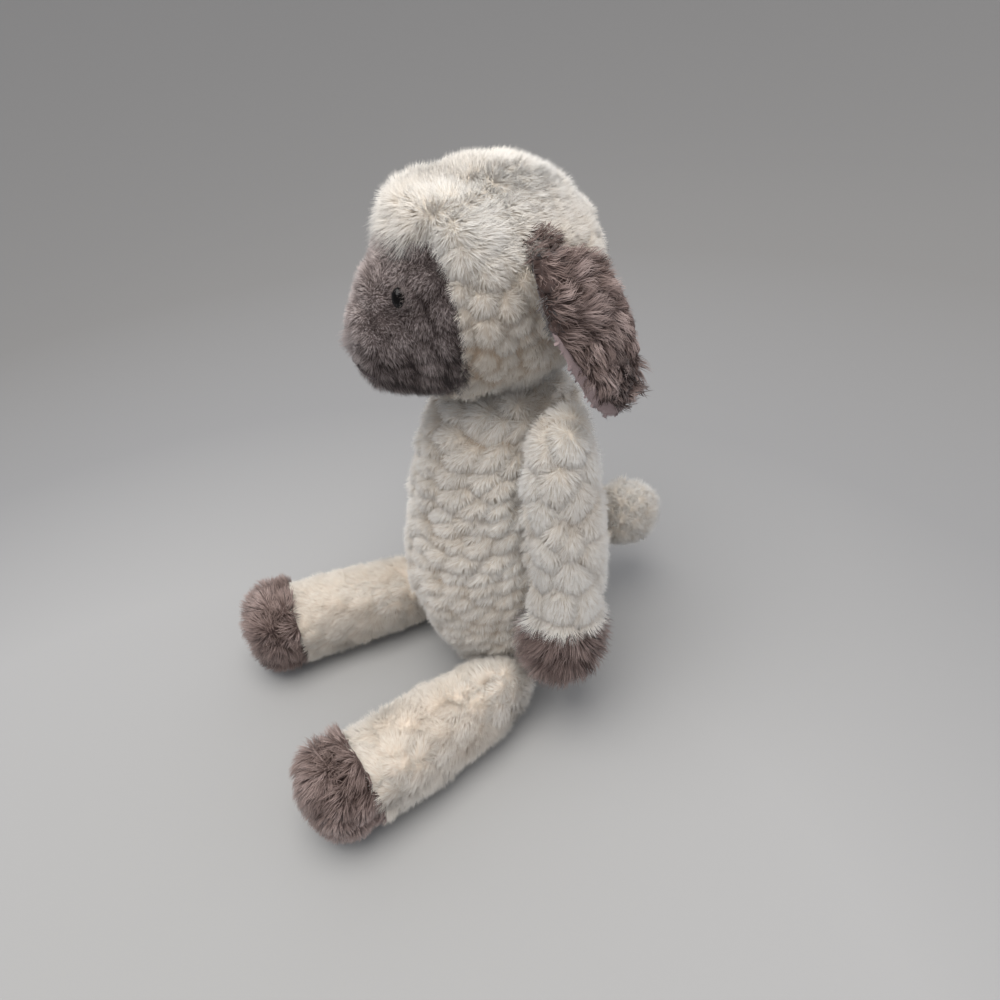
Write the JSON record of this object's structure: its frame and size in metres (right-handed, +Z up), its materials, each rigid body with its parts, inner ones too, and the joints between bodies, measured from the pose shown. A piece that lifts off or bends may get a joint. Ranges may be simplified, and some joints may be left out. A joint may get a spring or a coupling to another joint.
{
  "type": "plush sheep",
  "caption": "Sitting plush sheep with a pear-shaped woolly body, round head, long drooping ears, floppy arms and legs, dark paws and feet, and a puff tail.",
  "frame": {"origin": "the middle of the flat seat under the body, on the surface that the sheep sits on", "axes": "+Z is up, -Y is ahead, towards the nose and feet, and +X is the sheep's own left side"},
  "size_m": [0.1618, 0.2264, 0.2525],
  "materials": {
    "cream_wool_plush": "curly cobbled plush pile, cream",
    "warm_wool_plush": "shallow-waved plush pile, warm cream",
    "taupe_long_plush": "long straight plush pile, taupe brown",
    "face_plush": "short dense plush pile, dark taupe",
    "pink_lining": "smooth short-napped cloth, pale dusty pink",
    "stuffing": "polyester fibre filling, white",
    "bean_bag_cloth": "thin woven bag full of pellets, beige",
    "black_button": "polished black plastic",
    "white_washer": "white moulded plastic",
    "dark_thread": "embroidery thread, dark taupe"
  },
  "bodies": {
    "torso": {"body_skin": "cream_wool_plush", "body_stuffing": "stuffing", "seat_bean_bag": "bean_bag_cloth"},
    "neck": {"neck_stuffing": "stuffing"},
    "head": {"head_wool": "cream_wool_plush", "face_panel": "face_plush", "head_stuffing": "stuffing", "left_eye": "black_button", "right_eye": "black_button", "left_eye_washer": "white_washer", "right_eye_washer": "white_washer", "nose_and_mouth_thread": "dark_thread"},
    "left_ear": {"left_ear_outer": "taupe_long_plush", "left_ear_lining": "pink_lining"},
    "right_ear": {"right_ear_outer": "taupe_long_plush", "right_ear_lining": "pink_lining"},
    "left_arm": {"left_arm_skin": "cream_wool_plush", "left_paw": "taupe_long_plush", "left_arm_stuffing": "stuffing"},
    "right_arm": {"right_arm_skin": "cream_wool_plush", "right_paw": "taupe_long_plush", "right_arm_stuffing": "stuffing"},
    "left_leg": {"left_leg_skin": "warm_wool_plush", "left_foot": "taupe_long_plush", "left_leg_stuffing": "stuffing", "left_foot_bean_bag": "bean_bag_cloth"},
    "right_leg": {"right_leg_skin": "warm_wool_plush", "right_foot": "taupe_long_plush", "right_leg_stuffing": "stuffing", "right_foot_bean_bag": "bean_bag_cloth"},
    "tail": {"tail_skin": "cream_wool_plush", "tail_stuffing": "stuffing"}
  },
  "joints": [
    {"name": "neck_turn", "type": "hinge", "parent": "torso", "child": "neck", "pos_m": [0, 0.01, 0.1615], "axis": [0, 0, 1], "range_deg": [-35, 35], "stiffness_Nm_per_rad": 0.05},
    {"name": "neck_nod", "type": "hinge", "parent": "neck", "child": "head", "pos_m": [0, 0.01, 0.1615], "axis": [-1, 0, 0], "range_deg": [-15, 20], "stiffness_Nm_per_rad": 0.15},
    {"name": "left_ear_lift", "type": "hinge", "parent": "head", "child": "left_ear", "pos_m": [0.041, 0.02, 0.227], "axis": [0, -0.9136, 0.4067], "range_deg": [0, 100]},
    {"name": "right_ear_lift", "type": "hinge", "parent": "head", "child": "right_ear", "pos_m": [-0.041, 0.02, 0.227], "axis": [0, 0.9136, -0.4067], "range_deg": [0, 100]},
    {"name": "left_shoulder", "type": "hinge", "parent": "torso", "child": "left_arm", "pos_m": [0.0465, 0.0045, 0.149], "axis": [-0.9903, -0.1392, 0], "range_deg": [-40, 100]},
    {"name": "right_shoulder", "type": "hinge", "parent": "torso", "child": "right_arm", "pos_m": [-0.0465, 0.0045, 0.149], "axis": [-0.9903, 0.1392, 0], "range_deg": [-40, 100]},
    {"name": "left_hip", "type": "hinge", "parent": "torso", "child": "left_leg", "pos_m": [0.043, -0.033, 0.0215], "axis": [-0.9877, -0.1564, 0], "range_deg": [-75, 45]},
    {"name": "right_hip", "type": "hinge", "parent": "torso", "child": "right_leg", "pos_m": [-0.043, -0.033, 0.0215], "axis": [-0.9877, 0.1564, 0], "range_deg": [-75, 45]},
    {"name": "tail_bend", "type": "hinge", "parent": "torso", "child": "tail", "pos_m": [0, 0.0525, 0.051], "axis": [1, 0, 0], "range_deg": [-20, 20], "stiffness_Nm_per_rad": 0.01}
  ]
}
